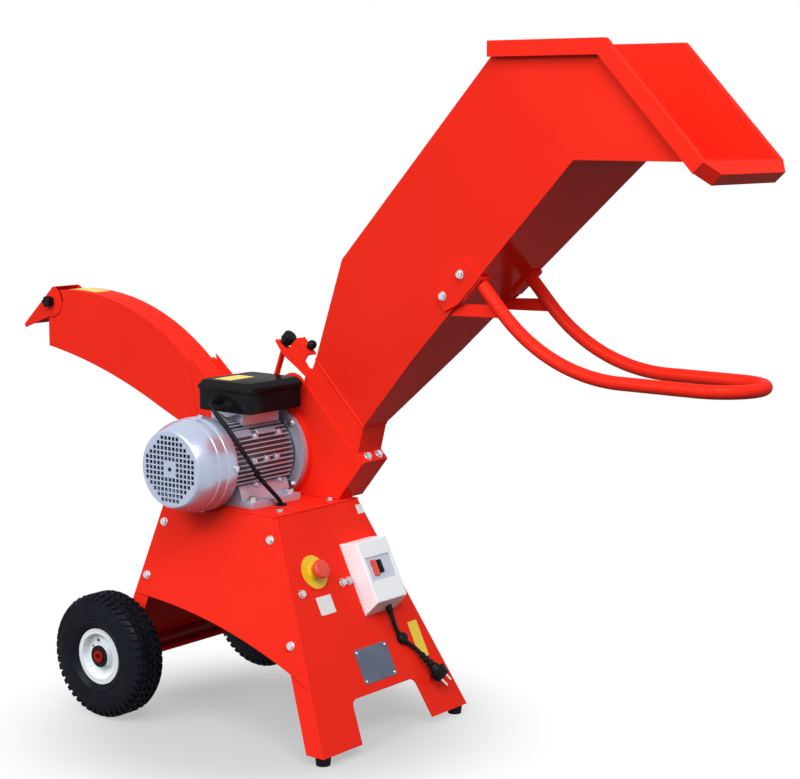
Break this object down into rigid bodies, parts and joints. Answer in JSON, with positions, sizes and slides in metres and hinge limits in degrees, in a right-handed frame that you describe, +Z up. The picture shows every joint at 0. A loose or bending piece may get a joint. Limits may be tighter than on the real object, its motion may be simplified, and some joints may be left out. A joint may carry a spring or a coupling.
{
  "type": "garden_shredder",
  "caption": "Electric garden shredder with a tall infeed hopper, foot-mounted motor, knife drum housing, curved discharge chute and two-wheeled sheet-steel stand, in red paint",
  "frame": {"origin": "On the floor, midway between the deflector's tip and the handle's end and midway between the wheels", "axes": "+X from the discharge chute to the infeed hopper, +Y from the motor's fan to the far wheel, +Z up"},
  "size_m": [1.9262, 0.567, 1.3788],
  "materials": {
    "red_paint": "gloss",
    "zinc_steel": "satin",
    "black_rubber": "matte",
    "tyre_rubber": "matte",
    "white_rim": "gloss",
    "black_plastic": "matte",
    "motor_aluminium": "satin",
    "bright_steel": "satin",
    "grey_plastic": "matte",
    "white_plastic": "gloss",
    "red_plastic": "gloss",
    "yellow_plastic": "gloss"
  },
  "bodies": {
    "machine": {"front_panel": "red_paint", "rear_panel": "red_paint", "side_panel_near": "red_paint", "side_panel_far": "red_paint", "top_plate": "red_paint", "stand_bolts": "zinc_steel", "rubber_feet": "black_rubber", "axle": "red_paint", "motor_frame": "motor_aluminium", "motor_foot": "motor_aluminium", "drive_shield": "motor_aluminium", "rear_shield": "motor_aluminium", "fan_cover": "motor_aluminium", "stator": "bright_steel", "motor_bearings": "bright_steel", "motor_bolts": "zinc_steel", "capacitor_box": "black_plastic", "capacitor_lid": "black_plastic", "capacitors": "motor_aluminium", "cable_glands": "black_rubber", "motor_cable": "black_rubber", "motor_ring": "red_paint", "housing_shell": "red_paint", "housing_cover": "red_paint", "head_bolts": "zinc_steel", "counter_knife": "bright_steel", "hopper_throat": "red_paint", "hopper_neck": "red_paint", "hopper": "red_paint", "handle_tube": "red_paint", "handle_brackets": "red_paint", "clamp_plate": "red_paint", "clamp_strap": "red_paint", "chute": "red_paint", "switch_box": "white_plastic", "switch_face": "grey_plastic", "emergency_collar": "yellow_plastic", "rating_plate": "motor_aluminium", "mains_cord": "black_rubber", "cord_clip": "black_rubber", "plug": "black_rubber"},
    "wheel_near": {"tyre_near": "tyre_rubber", "rim_near": "white_rim", "hub_near": "black_plastic"},
    "wheel_far": {"tyre_far": "tyre_rubber", "rim_far": "white_rim", "hub_far": "black_plastic"},
    "rotor": {"motor_shaft": "bright_steel", "fan": "grey_plastic", "cutter_drum": "bright_steel", "knives": "bright_steel", "rotor_bolts": "zinc_steel"},
    "deflector": {"deflector": "red_paint"},
    "deflector_knob": {"deflector_knob": "black_plastic"},
    "clamp_knob": {"clamp_knob": "black_plastic"},
    "lock_knob": {"lock_knob": "black_plastic"},
    "stop_button": {"stop_button": "red_plastic"},
    "start_button": {"start_button": "black_plastic"},
    "emergency_stem": {"emergency_stem": "grey_plastic"},
    "emergency_button": {"emergency_button": "red_plastic"}
  },
  "joints": [
    {"name": "wheel_near_turn", "type": "hinge", "parent": "machine", "child": "wheel_near", "pos_m": [-0.3455, -0.2435, 0.13], "axis": [0, 1, 0], "continuous": true},
    {"name": "wheel_far_turn", "type": "hinge", "parent": "machine", "child": "wheel_far", "pos_m": [-0.3455, 0.2435, 0.13], "axis": [0, 1, 0], "continuous": true},
    {"name": "rotor_turn", "type": "hinge", "parent": "machine", "child": "rotor", "pos_m": [-0.1675, 0.1234, 0.539], "axis": [0, 1, 0], "continuous": true},
    {"name": "deflector_tilt", "type": "hinge", "parent": "machine", "child": "deflector", "pos_m": [-0.8691, 0.1234, 0.8126], "axis": [0, 1, 0], "range_deg": [-35, 40]},
    {"name": "deflector_knob_turn", "type": "hinge", "parent": "deflector", "child": "deflector_knob", "pos_m": [-0.8691, 0.08, 0.8126], "axis": [0, 1, 0], "continuous": true},
    {"name": "clamp_knob_turn", "type": "hinge", "parent": "machine", "child": "clamp_knob", "pos_m": [-0.15708, 0.107, 0.7688], "axis": [0.7133, 0, 0.7009], "continuous": true},
    {"name": "lock_knob_turn", "type": "hinge", "parent": "machine", "child": "lock_knob", "pos_m": [-0.09353, 0.107, 0.75834], "axis": [0.7133, 0, 0.7009], "continuous": true},
    {"name": "stop_press", "type": "slide", "parent": "machine", "child": "stop_button", "axis": [-0.8965, 0, -0.4431], "range_m": [0, 0.004], "stiffness_N_per_m": 300},
    {"name": "start_press", "type": "slide", "parent": "machine", "child": "start_button", "axis": [-0.8965, 0, -0.4431], "range_m": [0, 0.004], "stiffness_N_per_m": 300},
    {"name": "emergency_press", "type": "slide", "parent": "machine", "child": "emergency_stem", "axis": [-0.8965, 0, -0.4431], "range_m": [0, 0.005]},
    {"name": "emergency_release", "type": "hinge", "parent": "emergency_stem", "child": "emergency_button", "pos_m": [0.09337, -0.077, 0.3437], "axis": [0.8965, 0, 0.4431], "range_deg": [0, 45], "stiffness_Nm_per_rad": 0.2}
  ]
}
